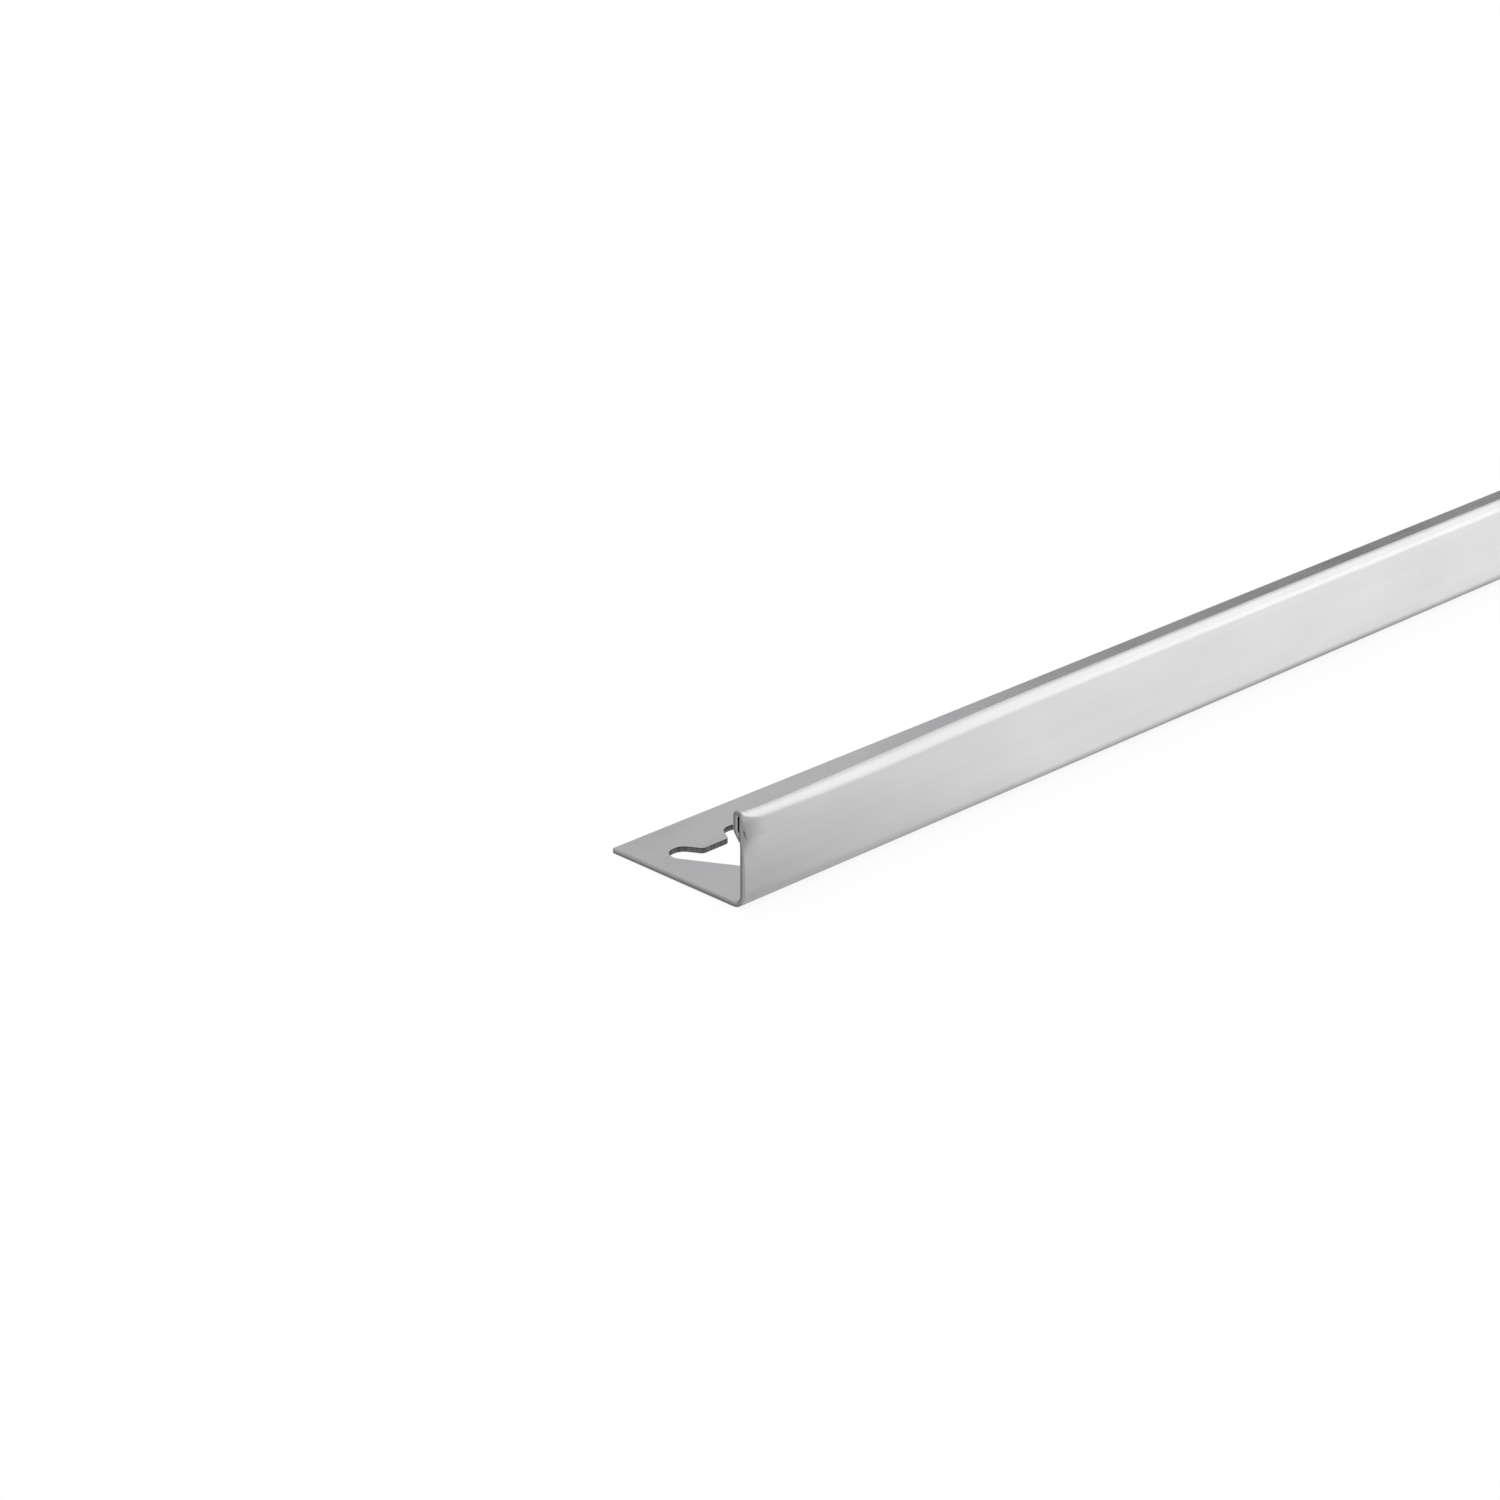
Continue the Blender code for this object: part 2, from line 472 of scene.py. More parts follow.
@dataclass
class FormedSection:
    """The folded section of the sheet, with every bend at its real size.

    Radii are those of the outer side of the sheet. Lengths are in metres, and
    heights are counted from the floor unless they are named as depths below the
    top. At a cut the head sags a little more than in the solid. The crush
    flattens the front of the head there, the nip is what the blade adds right
    at the cut, and the crease is a short slanted dent in the wall below. A
    painted shade darkens the crease and the crushed patch beside the cut; the
    crushed patch's darkness is given as a share of the shade colour.
    """

    height: float = 0.0125
    leg_width: float = 0.0225
    sheet: float = 0.0007
    heel_radius: float = 0.0018
    head_radius: float = 0.0012
    hip_radius: float = 0.0011
    fold_depth: float = 0.0024
    lip_depth: float = 0.0036
    lip_gap: float = 0.00006
    cut_head_radius: float = 0.00085
    cut_sag: float = 0.00062
    cut_press: float = 0.00012
    press_foot_depth: float = 0.0047
    press_full_depth: float = 0.0033
    crush: float = 0.00024
    crush_reach: float = 0.0032
    crush_foot: float = 0.0060
    crush_ease: float = 0.5
    crush_power: float = 2.0
    nip: float = 0.00008
    nip_fade: float = 0.00045
    crease: float = 0.00004
    crease_width: float = 0.00032
    crease_top: float = 0.0103
    crease_foot: float = 0.0084
    crease_start: float = 0.00022
    crease_reach: float = 0.00050
    crease_rise: float = 1.5
    shade_rise: float = 4.0
    # Painted shade on the crushed patch beside the cut: its strength, its fall-off with distance
    # and where it fades out below the head's crest.
    crushed_shade: float = 0.24
    crushed_shade_power: float = 1.5
    crushed_shade_top: float = 0.0112
    crushed_shade_edge: float = 0.0006
    slit_radius: float = 0.00010
    heel_steps: int = 12
    head_steps: int = 28
    hip_steps: int = 8
    low_wall_steps: int = 8
    high_wall_steps: int = 26
    high_wall_margin: float = 0.0004
    slit_steps: int = 3
    outer: list[Vector] = field(default_factory=list, repr=False)
    inner: list[Vector] = field(default_factory=list, repr=False)
    # Share of painted shade at each outer point of the outline last traced.
    painted_shades: list[float] = field(default_factory=list, repr=False)

    def outline(self, cut: CutState) -> list[Vector]:
        """Trace the section across the bar, round the whole sheet.

        Args:
            cut: How far the shear has changed the section here.

        Returns:
            Points across and up, starting and ending at the leg's slit edge.
        """
        radius = self.head_radius + (self.cut_head_radius - self.head_radius) * cut.squeeze
        top = self.height - self.cut_sag * cut.sag
        fold_end = self.height - self.fold_depth
        lip_end = self.height - self.lip_depth
        lip_plane = self.sheet + self.lip_gap
        hip_angle = math.atan2(2 * radius - lip_plane, fold_end - lip_end)

        self.outer, self.inner = [], []
        at, heading = Vector((self.leg_width, self.sheet / 2)), math.pi
        self._mark(at, heading)
        at = Vector((self.heel_radius, self.sheet / 2))
        at, heading = self._bend(at, heading, math.pi / 2, self.heel_radius, self.heel_steps)
        foot = self.crease_foot - self.high_wall_margin
        head = top - radius
        lows = np.linspace(self.heel_radius, foot, self.low_wall_steps + 1)[1:]
        highs = np.linspace(foot, head, self.high_wall_steps + 1)[1:-1]
        for up in (*lows, *highs):
            self._mark(Vector((at.x, float(up))), heading)
        at = Vector((at.x, head))
        at, heading = self._bend(at, heading, math.pi, radius, self.head_steps)
        at = at - Vector((0.0, top - radius - fold_end))
        at, heading = self._bend(at, heading, hip_angle, self.hip_radius, self.hip_steps)
        ahead = Vector((math.cos(heading), math.sin(heading)))
        for face in (self.outer, self.inner):
            face.append(face[-1] + ahead * (lip_plane - face[-1].x) / ahead.x)

        if cut.rim > 0.0:
            self._thin(cut.rim)
        self._crush(cut.distance, radius)
        for face in (self.outer, self.inner):
            for point in face:
                point.x += self.cut_press * cut.press * self._upper_share(point.y)
        return self._slit_edge() + self.outer[1:] + self.inner[:0:-1]

    def patches(self) -> list[Patch]:
        """List the kind of surface after each point of the outline last traced.

        Returns:
            One kind for each point.
        """
        slit = [Patch.SLIT] * (2 * (self.slit_steps + 1) - 1)
        brushed = [Patch.BRUSHED] * (len(self.outer) - 1)
        mill = [Patch.MILL] * (len(self.inner) - 1)
        return slit + brushed + [Patch.SLIT] + mill

    def across(self) -> list[tuple[int, ...]]:
        """List the pieces of a cut face, each right across the sheet.

        Returns:
            Numbers of points in the outline last traced, in its own order.
        """
        slit = 2 * (self.slit_steps + 1)
        outer = [slit + index for index in range(len(self.outer) - 1)]
        inner = [outer[-1] + len(self.inner) - 1 - index for index in range(len(self.inner) - 1)]
        pieces: list[tuple[int, ...]] = [(*range(slit), outer[0], inner[0])]
        for index in range(len(outer) - 1):
            pieces.append((inner[index], outer[index], outer[index + 1], inner[index + 1]))
        return pieces

    def entry_shares(self, blade: tuple[float, float]) -> list[float]:
        """Tell how far the blade had cut when it reached each point of the outline.

        Args:
            blade: The blade's direction, across and up.

        Returns:
            Shares from 0, where the blade came in, to 1, where it came out.
        """
        shares = []
        for one, other in zip(self.outer, self.inner):
            outward = (one - other).normalized()
            shares.append(0.5 + 0.5 * outward.dot(Vector(blade)))
        half = self.slit_steps + 1
        slit = [1.0 - shares[0]] * half + [shares[0]] * half
        return slit + shares[1:] + [1.0 - share for share in shares[:0:-1]]

    def painted_shade_shares(self) -> list[float]:
        """Tell how much painted shade each point of the outline last traced gets near the cut."""
        bare = [0.0] * (2 * (self.slit_steps + 1))
        return bare + self.painted_shades[1:] + [0.0] * (len(self.inner) - 1)

    def _side(self, heading: float) -> Vector:
        """Return the direction towards the outer side of the sheet."""
        return Vector((-math.sin(heading), math.cos(heading)))

    def _mark(self, at: Vector, heading: float) -> None:
        """Note the sheet's two faces at a point of its middle line.

        Args:
            at: The point.
            heading: The direction in which the sheet runs there.
        """
        half = self._side(heading) * self.sheet / 2
        self.outer.append(at + half)
        self.inner.append(at - half)

    def _bend(
        self, at: Vector, heading: float, angle: float, outer_radius: float, steps: int
    ) -> tuple[Vector, float]:
        """Follow one bend to the right.

        Args:
            at: Where the sheet's middle line enters the bend.
            heading: The direction it enters in.
            angle: How far it turns.
            outer_radius: The bend's radius on the outer side.
            steps: How many straight pieces draw the bend.

        Returns:
            The place and the direction at the bend's end.
        """
        radius = outer_radius - self.sheet / 2
        centre = at - self._side(heading) * radius
        for step in range(steps + 1):
            turned = heading - angle * step / steps
            at = centre + self._side(turned) * radius
            self._mark(at, turned)
        return at, heading - angle

    def _thin(self, amount: float) -> None:
        """Move both faces towards the middle of the sheet, to round a cut rim.

        Args:
            amount: How far each face moves.
        """
        for one, other in zip(self.outer, self.inner):
            step = (other - one).normalized() * amount
            one += step
            other -= step

    def _crush(self, distance: float, radius: float) -> None:
        """Flatten the front of the head and the upper wall where the shear bore on it, and paint
        shade into the crease and onto the crushed patch.

        Args:
            distance: Metres from the cut.
            radius: The head's outer radius here.
        """
        self.painted_shades = [0.0] * len(self.outer)
        if distance > self.crush_reach:
            return
        nearness = 1.0 - distance / self.crush_reach
        depth = self.crush * nearness**self.crush_power
        nip = self.nip * math.exp(-distance / self.nip_fade)
        for index, point in enumerate(self.outer):
            if point.x > radius or point.y < self.crush_foot:
                continue
            low = smooth_share((point.y - self.crush_foot) / (self.crease_top - self.crush_foot))
            drop = (self.crease_top - point.y) / (self.crease_top - self.crease_foot)
            edge = self.crease_start + self.crease_reach * drop
            inside = smooth_share((edge - distance) / self.crease_width + 0.5)
            fade = smooth_share(self.crease_rise * (1.0 - drop))
            flat = (depth + nip) * low + self.crease * inside * fade
            # The flat runs into the bend without an edge and ends before its crest.
            eased = (point.x + flat + math.hypot(point.x - flat, self.crush_ease * flat)) / 2
            front = 1.0 - smooth_share(2.0 * point.x / radius - 1.0)
            point.x += front * (eased - point.x)
            # The painted shade is darkest half way down the side of the crease, where shade falls
            # in the dent.
            fade *= smooth_share(self.shade_rise * drop)
            scar = 4.0 * inside * (1.0 - inside) * fade
            # Painted shade on the crushed patch beside the cut, standing in for the shade on its
            # turned face; it fades off below the crest of the head.
            crushed_shade = self.crushed_shade * nearness**self.crushed_shade_power * low
            crushed_shade *= 1.0 - smooth_share((point.y - self.crushed_shade_top) / self.crushed_shade_edge + 0.5)
            self.painted_shades[index] = max(scar, crushed_shade)

    def _upper_share(self, up: float) -> float:
        """Return how much of the shear's press reaches a height."""
        foot = self.height - self.press_foot_depth
        return smooth_share((up - foot) / (self.press_foot_depth - self.press_full_depth))

    def _slit_edge(self) -> list[Vector]:
        """Round the leg's slit edge.

        Returns:
            Its points, from the leg's upper face to its lower face.
        """
        low, high = self.outer[0], self.inner[0]
        radius = self.slit_radius
        points = []
        for corner, first in ((high, math.pi / 2), (low, 0.0)):
            up = -radius if corner is high else radius
            centre = Vector((corner.x - radius, corner.y + up))
            for step in range(self.slit_steps + 1):
                turned = first - math.pi / 2 * step / self.slit_steps
                points.append(centre + Vector((math.cos(turned), math.sin(turned))) * radius)
        return points


@dataclass
class AnchorOpening:
    """The dovetail opening in the leg, with the tongue in its wide side.

    Across the leg, sizes run from the wall's outer face, in metres.
    """

    pitch: float = 0.020
    first: float = 0.0097
    inner_edge: float = 0.0065
    outer_edge: float = 0.0172
    inner_half: float = 0.0013
    flare: float = 0.585
    tongue_edge: float = 0.0147
    tongue_half: float = 0.0021
    inner_corner: float = 0.0008
    tongue_corner: float = 0.0007
    prong_flat: float = 0.00014
    corner_steps: int = 8
    rollover: float = 0.00007
    burr: float = 0.00003

    def corners(self) -> list[tuple[Vector, float]]:
        """Work out the outline's corners.

        Returns:
            The corners in order, each with its radius.
        """
        reach = self.outer_edge - self.inner_edge
        outer_half = self.inner_half + self.flare * reach
        root = self.tongue_half + self.flare * (self.outer_edge - self.tongue_edge)
        prong = (outer_half - root) * math.cos(math.atan(self.flare))
        tip = (prong - self.prong_flat) / 2
        right = [
            (self.inner_half, self.inner_edge, self.inner_corner),
            (outer_half, self.outer_edge, tip),
            (root, self.outer_edge, tip),
            (self.tongue_half, self.tongue_edge, self.tongue_corner),
        ]
        left = [(-x, y, radius) for x, y, radius in reversed(right)]
        return [(Vector((x, y)), radius) for x, y, radius in right + left]

    def outline(self, grow: float) -> list[Vector]:
        """Draw the opening's rounded outline, grown by a distance all round.

        Args:
            grow: How far the outline moves outwards.

        Returns:
            The outline's points, in order.
        """
        corners = self.corners()
        outline: list[Vector] = []
        for index, (here, radius) in enumerate(corners):
            back = (corners[index - 1][0] - here).normalized()
            on = (corners[(index + 1) % len(corners)][0] - here).normalized()
            outward_back = Vector((-back.y, back.x))
            outward_on = Vector((on.y, -on.x))
            shift = (outward_back + outward_on) / (1.0 + outward_back.dot(outward_on))
            corner = here + shift * grow
            bulges = shift.dot(back + on) < 0.0
            radius = radius + grow if bulges else radius - grow
            half = back.angle(on) / 2
            centre = corner + (back + on).normalized() * radius / math.sin(half)
            start = corner + back * radius / math.tan(half) - centre
            end = corner + on * radius / math.tan(half) - centre
            first = math.atan2(start.y, start.x)
            turn = math.remainder(math.atan2(end.y, end.x) - first, 2 * math.pi)
            for step in range(self.corner_steps + 1):
                angle = first + turn * step / self.corner_steps
                outline.append(centre + Vector((math.cos(angle), math.sin(angle))) * radius)
        return outline

    def levels(self, sheet: float) -> list[tuple[float, float]]:
        """Give the punch's heights above the floor and how far it is grown at each.

        Args:
            sheet: The sheet's thickness.

        Returns:
            Pairs of height and growth, from below the sheet to above it.
        """
        # Two steps draw the roll-over as a quarter round.
        return [
            (-2 * sheet, self.burr),
            (0.0, self.burr),
            (self.burr, 0.0),
            (sheet - 1.2 * self.rollover, 0.0),
            (sheet - 0.5 * self.rollover, 0.28 * self.rollover),
            (sheet, self.rollover),
            (3 * sheet, self.rollover),
        ]

    def places(self, length: float) -> list[float]:
        """Space the openings along the bar.

        Args:
            length: The bar's length.

        Returns:
            Their distances from the bar's near end.
        """
        span = length - 2 * self.first
        gaps = round(span / self.pitch)
        return [self.first + span / gaps * index for index in range(gaps + 1)]


def mesh_object(name: str, points: list[Triple], faces: list[tuple[int, ...]]) -> bpy.types.Object:
    """Make a mesh object and link it to the scene.

    Args:
        name: The object's name.
        points: Its vertices.
        faces: Its faces, as numbers of vertices.

    Returns:
        The new object.
    """
    mesh = bpy.data.meshes.new(name)
    mesh.from_pydata(points, [], faces)
    mesh.update()
    piece = bpy.data.objects.new(name, mesh)
    bpy.context.scene.collection.objects.link(piece)
    return piece


@dataclass
class EdgeTrim:
    """The whole bar: its section carried along the length, then perforated."""

    length: float = 1.0
    section: FormedSection = field(default_factory=FormedSection)
    shear: ShearedEnd = field(default_factory=ShearedEnd)
    opening: AnchorOpening = field(default_factory=AnchorOpening)
    brushed: BrushedSheet = field(default_factory=BrushedSheet)
    mill: MillSheet = field(default_factory=MillSheet)
    slit: BareEdge = BareEdge(
        "slit_edge", (0.26, 0.26, 0.265), (0.40, 0.40, 0.405), 0.42, (900.0, 900.0, 5000.0)
    )
    sheared: BareEdge = BareEdge(
        "sheared_end", (0.15, 0.15, 0.153), (0.23, 0.23, 0.233), 0.48, (7000.0, 6000.0, 6000.0),
        burnish=(0.38, 0.38, 0.382),
    )
    # The punched walls are dark partly from the bare edge's own duller tone and partly from painted
    # shade of the opening's walls.
    punched: BareEdge = BareEdge(
        "punched_edge", (0.09, 0.09, 0.092), (0.17, 0.17, 0.173), 0.45, (3200.0, 3200.0, 700.0)
    )
    span_step: float = 0.008
    torn_tilt: float = 0.3
    torn_rings: int = 2
    sharp_angle: float = 35.0
    flat_weight: int = 80

    def build(self) -> None:
        """Build the bar, dress it and put it in the place of its CAD node."""
        bar = self._formed_strip()
        punch = self._punches()
        self._perforate(bar, punch)
        self._finish_faces(bar)
        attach(bar, "root")
        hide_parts(NODE)
        log.info("%s: %d faces", bar.name, len(bar.data.polygons))

    def _stations(self) -> list[tuple[float, CutState]]:
        """Place the section's rings along the bar.

        Returns:
            Each ring's place along X and its cut state.
        """
        near = [(-self.length / 2 + d, self.shear.state(d)) for d in self.shear.rings()]
        far = [(-along, state) for along, state in reversed(near)]
        start, end = near[-1][0], far[0][0]
        count = max(2, round((end - start) / self.span_step))
        middle = [
            (start + (end - start) * index / count, CutState()) for index in range(1, count)
        ]
        return near + middle + far

    def _formed_strip(self) -> bpy.types.Object:
        """Skin the section's rings from end to end.

        Returns:
            The strip, closed at both ends and not yet perforated.
        """
        rings = []
        painted_shades: list[float] = []
        for along, state in self._stations():
            rings.append((along, self.section.outline(state)))
            painted_shades += self.section.painted_shade_shares()
        count = len(rings[0][1])
        shift = self.section.leg_width / 2
        points = [(x, p.x - shift, p.y) for x, ring in rings for p in ring]
        faces: list[tuple[int, ...]] = []
        for ring in range(len(rings) - 1):
            base = ring * count
            for index in range(count):
                here, there = base + index, base + (index + 1) % count
                faces.append((there, here, count + here, count + there))
        sides = len(faces)
        last = len(points) - count
        for piece in self.section.across():
            faces.append(piece)
            faces.append(tuple(last + index for index in reversed(piece)))
        bar = mesh_object("formed_strip", points, faces)

        girth = [0.0]
        outline = rings[len(rings) // 2][1]
        for before, here in zip(outline, outline[1:] + outline[:1]):
            girth.append(girth[-1] + (here - before).length)
        layer = bar.data.uv_layers.new(name="grain")
        # A UV layer carries the painted shade of the crease and the crushed patch to the brushed
        # material.
        shade_layer = bar.data.uv_layers.new(name="scar")
        for loop in bar.data.loops:
            shade_layer.data[loop.index].uv = (painted_shades[loop.vertex_index], 0.0)
        for face in bar.data.polygons[:sides]:
            index = face.index % count
            for corner, loop in enumerate(face.loop_indices):
                around = index + 1 if corner in (0, 3) else index
                along = points[bar.data.loops[loop].vertex_index][0]
                layer.data[loop].uv = (along, girth[around])
        entry = self.section.entry_shares(self.shear.blade)
        for face in bar.data.polygons[sides:]:
            for loop in face.loop_indices:
                index = bar.data.loops[loop].vertex_index % count
                layer.data[loop].uv = (entry[index], girth[index])

        for finish in (self.brushed, self.mill, self.slit, self.sheared, self.punched):
            bar.data.materials.append(finish.material())
        patches = self.section.patches()
        for face in bar.data.polygons:
            ring = face.index // count
            patch = patches[face.index % count] if face.index < sides else Patch.SHEARED
            # Faces at the rim that look along the bar belong to the cut.
            if patch is Patch.BRUSHED and abs(face.normal.x) > self.torn_tilt:
                if min(ring, len(rings) - 2 - ring) < self.torn_rings:
                    patch = Patch.SHEARED
            face.material_index = patch.value
        tidy_normals(bar)
        return bar

    def _punches(self) -> bpy.types.Object:
        """Make every punch of the row, in one mesh.

        Returns:
            The punches.
        """
        levels = self.opening.levels(self.section.sheet)
        outlines = [(up, self.opening.outline(grow)) for up, grow in levels]
        count = len(outlines[0][1])
        shift = self.section.leg_width / 2
        points: list[Triple] = []
        faces: list[tuple[int, ...]] = []
        for place in self.opening.places(self.length):
            base = len(points)
            middle = place - self.length / 2
            for up, outline in outlines:
                points.extend((middle + p.x, p.y - shift, up) for p in outline)
            for level in range(len(outlines) - 1):
                low = base + level * count
                for index in range(count):
                    here, there = low + index, low + (index + 1) % count
                    faces.append((here, there, count + there, count + here))
            faces.append(tuple(base + index for index in reversed(range(count))))
            top = base + (len(outlines) - 1) * count
            faces.append(tuple(top + index for index in range(count)))
        punch = mesh_object("opening_punch", points, faces)
        for _ in Patch:
            punch.data.materials.append(None)
        for face in punch.data.polygons:
            face.material_index = Patch.PUNCHED.value
        tidy_normals(punch)
        return punch

    def _perforate(self, bar: bpy.types.Object, punch: bpy.types.Object) -> None:
        """Pierce the leg with the punches and drop them.

        Args:
            bar: The strip to pierce; its mesh is replaced.
            punch: The punches.
        """
        pierce = bar.modifiers.new("openings", "BOOLEAN")
        pierce.operation = "DIFFERENCE"
        pierce.solver = "EXACT"
        pierce.object = punch
        graph = bpy.context.evaluated_depsgraph_get()
        pierced = bpy.data.meshes.new_from_object(bar.evaluated_get(graph))
        bar.modifiers.clear()
        bar.data = pierced
        bpy.data.objects.remove(punch, do_unlink=True)

    def _finish_faces(self, bar: bpy.types.Object) -> None:
        """Smooth the bends, keep the edges crisp and even out the flat faces.

        Args:
            bar: The perforated bar.
        """
        bar.data.shade_smooth()
        bar.data.set_sharp_from_angle(angle=math.radians(self.sharp_angle))
        even = bar.modifiers.new("flat_faces", "WEIGHTED_NORMAL")
        even.keep_sharp = True
        even.weight = self.flat_weight


def tidy_normals(piece: bpy.types.Object) -> None:
    """Turn every face of a closed mesh outwards.

    Args:
        piece: The mesh's object.
    """
    mesh = bmesh.new()
    mesh.from_mesh(piece.data)
    bmesh.ops.recalc_face_normals(mesh, faces=mesh.faces)
    mesh.to_mesh(piece.data)
    mesh.free()


@dataclass(frozen=True)
class Softbox:
    """A soft lamp: where it stands, what it faces and how bright its face is."""

    name: str
    place: Triple
    aim: Triple
    width: float
    height: float
    brightness: float

    def build(self) -> None:
        """Build the lamp."""
        data = bpy.data.lights.new(self.name, "AREA")
        data.shape = "RECTANGLE"
        data.size = self.width
        data.size_y = self.height
        data.energy = self.brightness * math.pi * self.width * self.height
        lamp = bpy.data.objects.new(self.name, data)
        lamp.location = self.place
        away = Vector(self.aim) - Vector(self.place)
        lamp.rotation_euler = away.to_track_quat("-Z", "Y").to_euler()
        lamp.visible_camera = False
        lamp.visible_glossy = False
        bpy.context.scene.collection.objects.link(lamp)


def reflection_card(card: bpy.types.Object, start: float, end: float) -> None:
    """Make a mesh glow, but only where the steel mirrors it.

    Args:
        card: The mesh.
        start: Its brightness at its low end along X.
        end: Its brightness at its high end along X.
    """
    material = bpy.data.materials.new(card.name)
    sheet = NodeSheet(material)
    out = sheet.add("ShaderNodeOutputMaterial")
    glow = sheet.add("ShaderNodeEmission")
    sheet.join(glow.outputs["Emission"], out.inputs["Surface"])
    if start == end:
        glow.inputs["Strength"].default_value = start
    else:
        place = sheet.add("ShaderNodeTexCoord")
        axes = sheet.add("ShaderNodeSeparateXYZ")
        grade = sheet.add("ShaderNodeMapRange")
        grade.inputs["To Min"].default_value = start
        grade.inputs["To Max"].default_value = end
        sheet.join(place.outputs["Generated"], axes.inputs["Vector"])
        sheet.join(axes.outputs["X"], grade.inputs["Value"])
        sheet.join(grade.outputs["Result"], glow.inputs["Strength"])
    card.data.materials.append(material)
    card.visible_camera = False
    card.visible_shadow = False
    card.visible_diffuse = False


@dataclass(frozen=True)
class FloorCard:
    """A grey card lying on the floor, seen only in the steel; sizes in metres, brightness at its
    two ends. Each card is a painted shadow, standing in for the floor's shade next to the bar.
    """

    name: str
    left: float
    right: float
    front: float
    back: float
    start: float
    end: float
    lift: float = 0.00001

    def build(self) -> None:
        """Build the card."""
        corners = [
            (self.left, self.front, self.lift),
            (self.right, self.front, self.lift),
            (self.right, self.back, self.lift),
            (self.left, self.back, self.lift),
        ]
        card = mesh_object(self.name, corners, [(0, 1, 2, 3)])
        reflection_card(card, self.start, self.end)


@dataclass(frozen=True)
class TentPanel:
    """One curved panel of the light tent round the near end.

    Along is the share of +X in the direction towards the panel, from -1 to 1.
    Around is the angle about the bar, in degrees: 0 in front of the wall, 90
    overhead and 180 behind the leg.
    """

    name: str
    along: tuple[float, float]
    around: tuple[float, float]
    brightness: float
    steps: int = 8

    def build(self, centre: Vector, radius: float) -> None:
        """Build the panel.

        Args:
            centre: The tent's middle.
            radius: The tent's radius.
        """
        count = self.steps + 1
        points = []
        for share in np.linspace(*self.along, count):
            ring = math.sqrt(max(0.0, 1.0 - share * share))
            for angle in np.radians(np.linspace(*self.around, count)):
                away = Vector((share, -ring * math.cos(angle), ring * math.sin(angle)))
                points.append(tuple(centre + radius * away))
        faces = []
        for row in range(self.steps):
            for column in range(self.steps):
                low = row * count + column
                faces.append((low, low + 1, low + count + 1, low + count))
        panel = mesh_object(self.name, points, faces)
        reflection_card(panel, self.brightness, self.brightness)


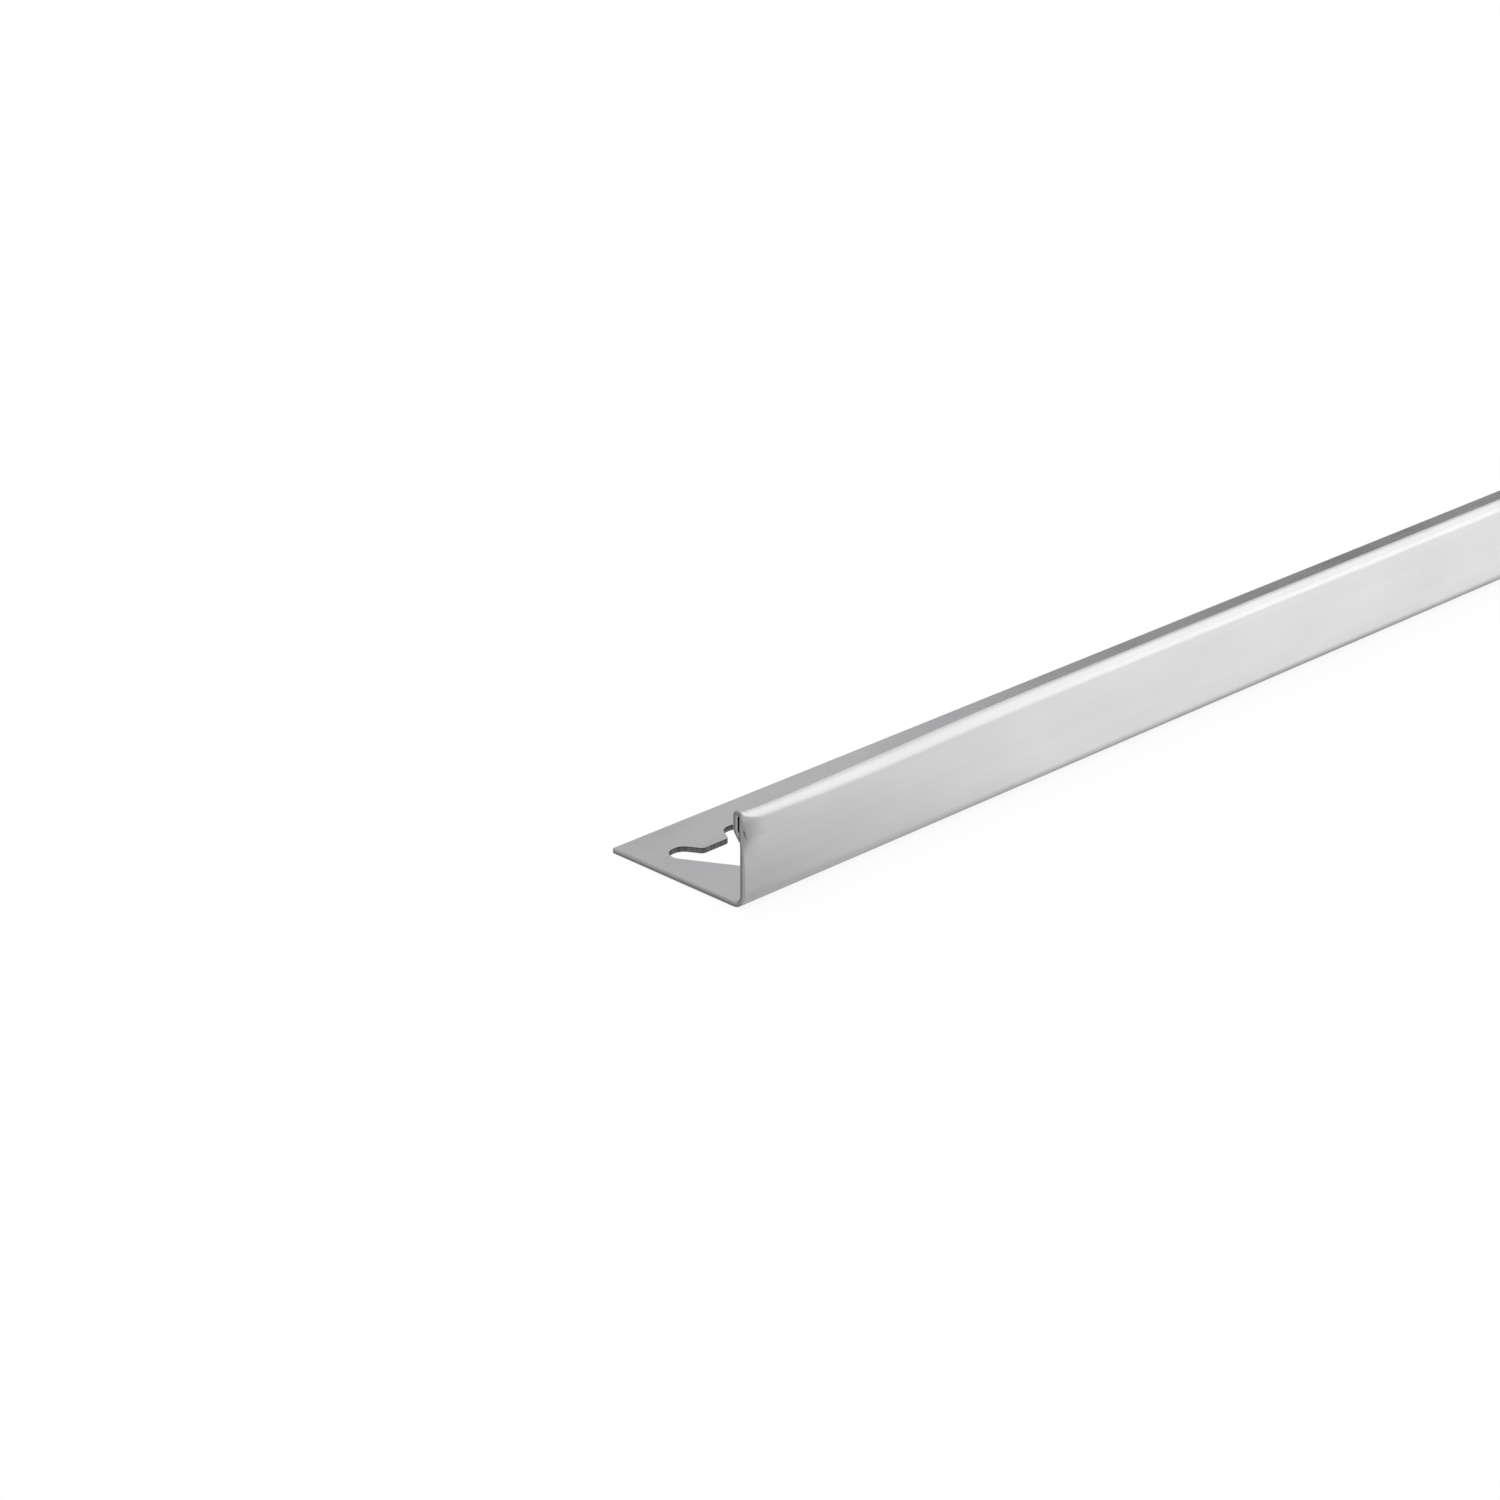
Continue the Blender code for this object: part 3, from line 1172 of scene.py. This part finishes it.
@dataclass
class Studio:
    """A pale floor, a white surround, a soft lamp and what the steel mirrors."""

    floor_size: float = 8.0
    floor_tone: float = 0.90
    floor_lift: float = 0.90
    floor_drop: float = 0.00002
    fill: float = 0.45
    tent_centre: Triple = (-0.44, 0.0, 0.0)
    tent_radius: float = 1.5
    softboxes: tuple[Softbox, ...] = (
        Softbox("overhead", (0.0, -0.1, 1.3), (0.0, -0.1, 0.0), 2.8, 1.6, 1.7),
    )
    tent: tuple[TentPanel, ...] = (
        TentPanel("left", (-1.0, 0.50), (0, 180), 0.35),
        TentPanel("front_left", (0.50, 0.64), (0, 80), 1.60),
        TentPanel("top_left", (0.50, 0.64), (80, 110), 1.55),
        TentPanel("back_high_left", (0.50, 0.64), (110, 140), 1.10),
        TentPanel("back_low_left", (0.50, 0.64), (140, 180), 0.80),
        TentPanel("front_low", (0.64, 0.70), (0, 25), 2.50),
        TentPanel("front_low_right", (0.70, 1.0), (0, 12), 3.60),
        TentPanel("front_step_right", (0.70, 1.0), (12, 25), 2.45),
        TentPanel("front_right", (0.64, 1.0), (25, 50), 1.28),
        TentPanel("high_middle", (0.64, 0.70), (50, 80), 1.85),
        TentPanel("high_right", (0.70, 1.0), (50, 80), 1.38),
        TentPanel("top_right", (0.64, 1.0), (80, 110), 1.80),
        TentPanel("back_high_right", (0.64, 1.0), (110, 140), 1.40),
        TentPanel("back_low_middle", (0.64, 0.70), (140, 180), 0.86),
        TentPanel("back_low_right", (0.70, 1.0), (140, 180), 0.12),
    )
    # Painted shadow: darker cards on the floor next to the bar, seen only in the steel, stand in
    # for the floor's shade there.
    cards: tuple[FloorCard, ...] = (
        FloorCard("shadow_strip_before_end", -0.600, -0.497, -0.0200, -0.0122, 0.33, 0.33),
        FloorCard("shadow_strip_at_end", -0.497, -0.443, -0.0200, -0.0122, 0.33, 0.92),
        FloorCard("floor_shadow_before_end", -0.600, -0.490, -0.0900, -0.0200, 0.65, 0.65),
        FloorCard("floor_shadow_at_end", -0.490, -0.440, -0.0900, -0.0200, 0.65, 0.95),
        FloorCard("shade_at_end", -0.500, -0.420, -0.0117, -0.0085, 0.55, 0.35),
        FloorCard("shade", -0.420, 0.500, -0.0117, -0.0085, 0.30, 0.30),
        FloorCard("shade_edge", -0.400, 0.500, -0.0122, -0.0117, 0.60, 0.60),
    )

    def build(self) -> None:
        """Build the floor, the surround, the lamps, the tent and the cards."""
        self._floor()
        self._surround()
        for softbox in self.softboxes:
            softbox.build()
        for panel in self.tent:
            panel.build(Vector(self.tent_centre), self.tent_radius)
        for card in self.cards:
            card.build()
        bpy.context.scene.view_settings.view_transform = "Standard"
        log.info("studio: %d lamps, %d panels", len(self.softboxes), len(self.tent))

    def _seen(self, sheet: NodeSheet) -> Socket:
        """Tell the rays that see the surround from those that light the bar.

        Args:
            sheet: The nodes of the material or world.

        Returns:
            A socket that is 1 for camera, mirrored and refracted rays.
        """
        path = sheet.add("ShaderNodeLightPath")
        total = path.outputs["Is Camera Ray"]
        for name in ("Is Glossy Ray", "Is Transmission Ray"):
            most = sheet.add("ShaderNodeMath", operation="MAXIMUM")
            sheet.join(total, most.inputs[0])
            sheet.join(path.outputs[name], most.inputs[1])
            total = most.outputs[0]
        return total

    def _floor(self) -> None:
        """Build the floor, which keeps a light shadow under the bar."""
        half = self.floor_size / 2
        floor = mesh_object(
            "floor",
            [(-half, -half, 0.0), (half, -half, 0.0), (half, half, 0.0), (-half, half, 0.0)],
            [(0, 1, 2, 3)],
        )
        floor.location = (0.0, 0.0, CAD_BOX[0][2] - self.floor_drop)
        material = bpy.data.materials.new("pale_floor")
        sheet = NodeSheet(material)
        out = sheet.add("ShaderNodeOutputMaterial")
        paper = sheet.add("ShaderNodeBsdfDiffuse")
        paper.inputs["Color"].default_value = (self.floor_tone,) * 3 + (1.0,)
        white = sheet.add("ShaderNodeEmission")
        lift = sheet.add("ShaderNodeMath", operation="MULTIPLY")
        lift.inputs[1].default_value = self.floor_lift
        blend = sheet.add("ShaderNodeMixShader")
        sheet.join(self._seen(sheet), lift.inputs[0])
        sheet.join(lift.outputs[0], blend.inputs[0])
        sheet.join(paper.outputs["BSDF"], blend.inputs[1])
        sheet.join(white.outputs["Emission"], blend.inputs[2])
        sheet.join(blend.outputs["Shader"], out.inputs["Surface"])
        floor.data.materials.append(material)

    def _surround(self) -> None:
        """Make the world white where it is seen, and a soft fill elsewhere."""
        world = bpy.data.worlds.new("white_surround")
        bpy.context.scene.world = world
        sheet = NodeSheet(world)
        out = sheet.add("ShaderNodeOutputWorld")
        fill = sheet.add("ShaderNodeBackground")
        fill.inputs["Strength"].default_value = self.fill
        white = sheet.add("ShaderNodeBackground")
        for background in (fill, white):
            background.inputs["Color"].default_value = (*WHITE, 1.0)
        blend = sheet.add("ShaderNodeMixShader")
        sheet.join(self._seen(sheet), blend.inputs[0])
        sheet.join(fill.outputs["Background"], blend.inputs[1])
        sheet.join(white.outputs["Background"], blend.inputs[2])
        sheet.join(blend.outputs["Shader"], out.inputs["Surface"])


@dataclass(frozen=True)
class ProductCamera:
    """The camera at the photograph's place, found from the bar's own lines.

    Angles are in degrees. The heading is counted from +X towards +Y. The near
    corner is the point of the near end where the planes of the wall and of the
    floor meet, and its pixel is in an image of 1500 by 1500.
    """

    focal_pixels: float = 3617.0
    elevation: float = 23.387
    heading: float = 45.315
    distance: float = 0.42059
    corner_pixel: tuple[float, float] = (744.26, 911.33)
    frame_pixels: float = 1500.0
    sensor: float = 36.0
    nearest: float = 0.01
    farthest: float = 30.0

    def build(self, corner: Vector) -> None:
        """Build the camera and make it the scene's.

        Args:
            corner: The near corner's place.
        """
        pitch, heading = math.radians(self.elevation), math.radians(self.heading)
        ahead = Vector(
            (
                math.cos(heading) * math.cos(pitch),
                math.sin(heading) * math.cos(pitch),
                -math.sin(pitch),
            )
        )
        right = ahead.cross(Vector((0.0, 0.0, 1.0))).normalized()
        upward = right.cross(ahead)
        middle = self.frame_pixels / 2
        off_right = (self.corner_pixel[0] - middle) / self.focal_pixels * self.distance
        off_up = -(self.corner_pixel[1] - middle) / self.focal_pixels * self.distance
        data = bpy.data.cameras.new("product_camera")
        data.sensor_fit = "HORIZONTAL"
        data.sensor_width = self.sensor
        data.lens = self.sensor * self.focal_pixels / self.frame_pixels
        data.clip_start = self.nearest
        data.clip_end = self.farthest
        camera = bpy.data.objects.new("product_camera", data)
        camera.location = corner - ahead * self.distance - right * off_right - upward * off_up
        camera.rotation_euler = ahead.to_track_quat("-Z", "Y").to_euler()
        bpy.context.scene.collection.objects.link(camera)
        bpy.context.scene.camera = camera


def write_sizes() -> None:
    """Log a closing line; no sizes are written."""
    log.info("sizes written")


def main() -> None:
    """Build the bar, the studio and the camera."""
    logging.basicConfig(level=logging.INFO, format="%(name)s: %(message)s")
    trim = EdgeTrim()
    trim.build()
    Studio().build()
    corner = Vector((-trim.length / 2, -trim.section.leg_width / 2, 0.0))
    ProductCamera().build(corner)
    write_sizes()


if __name__ == "__main__":
    main()
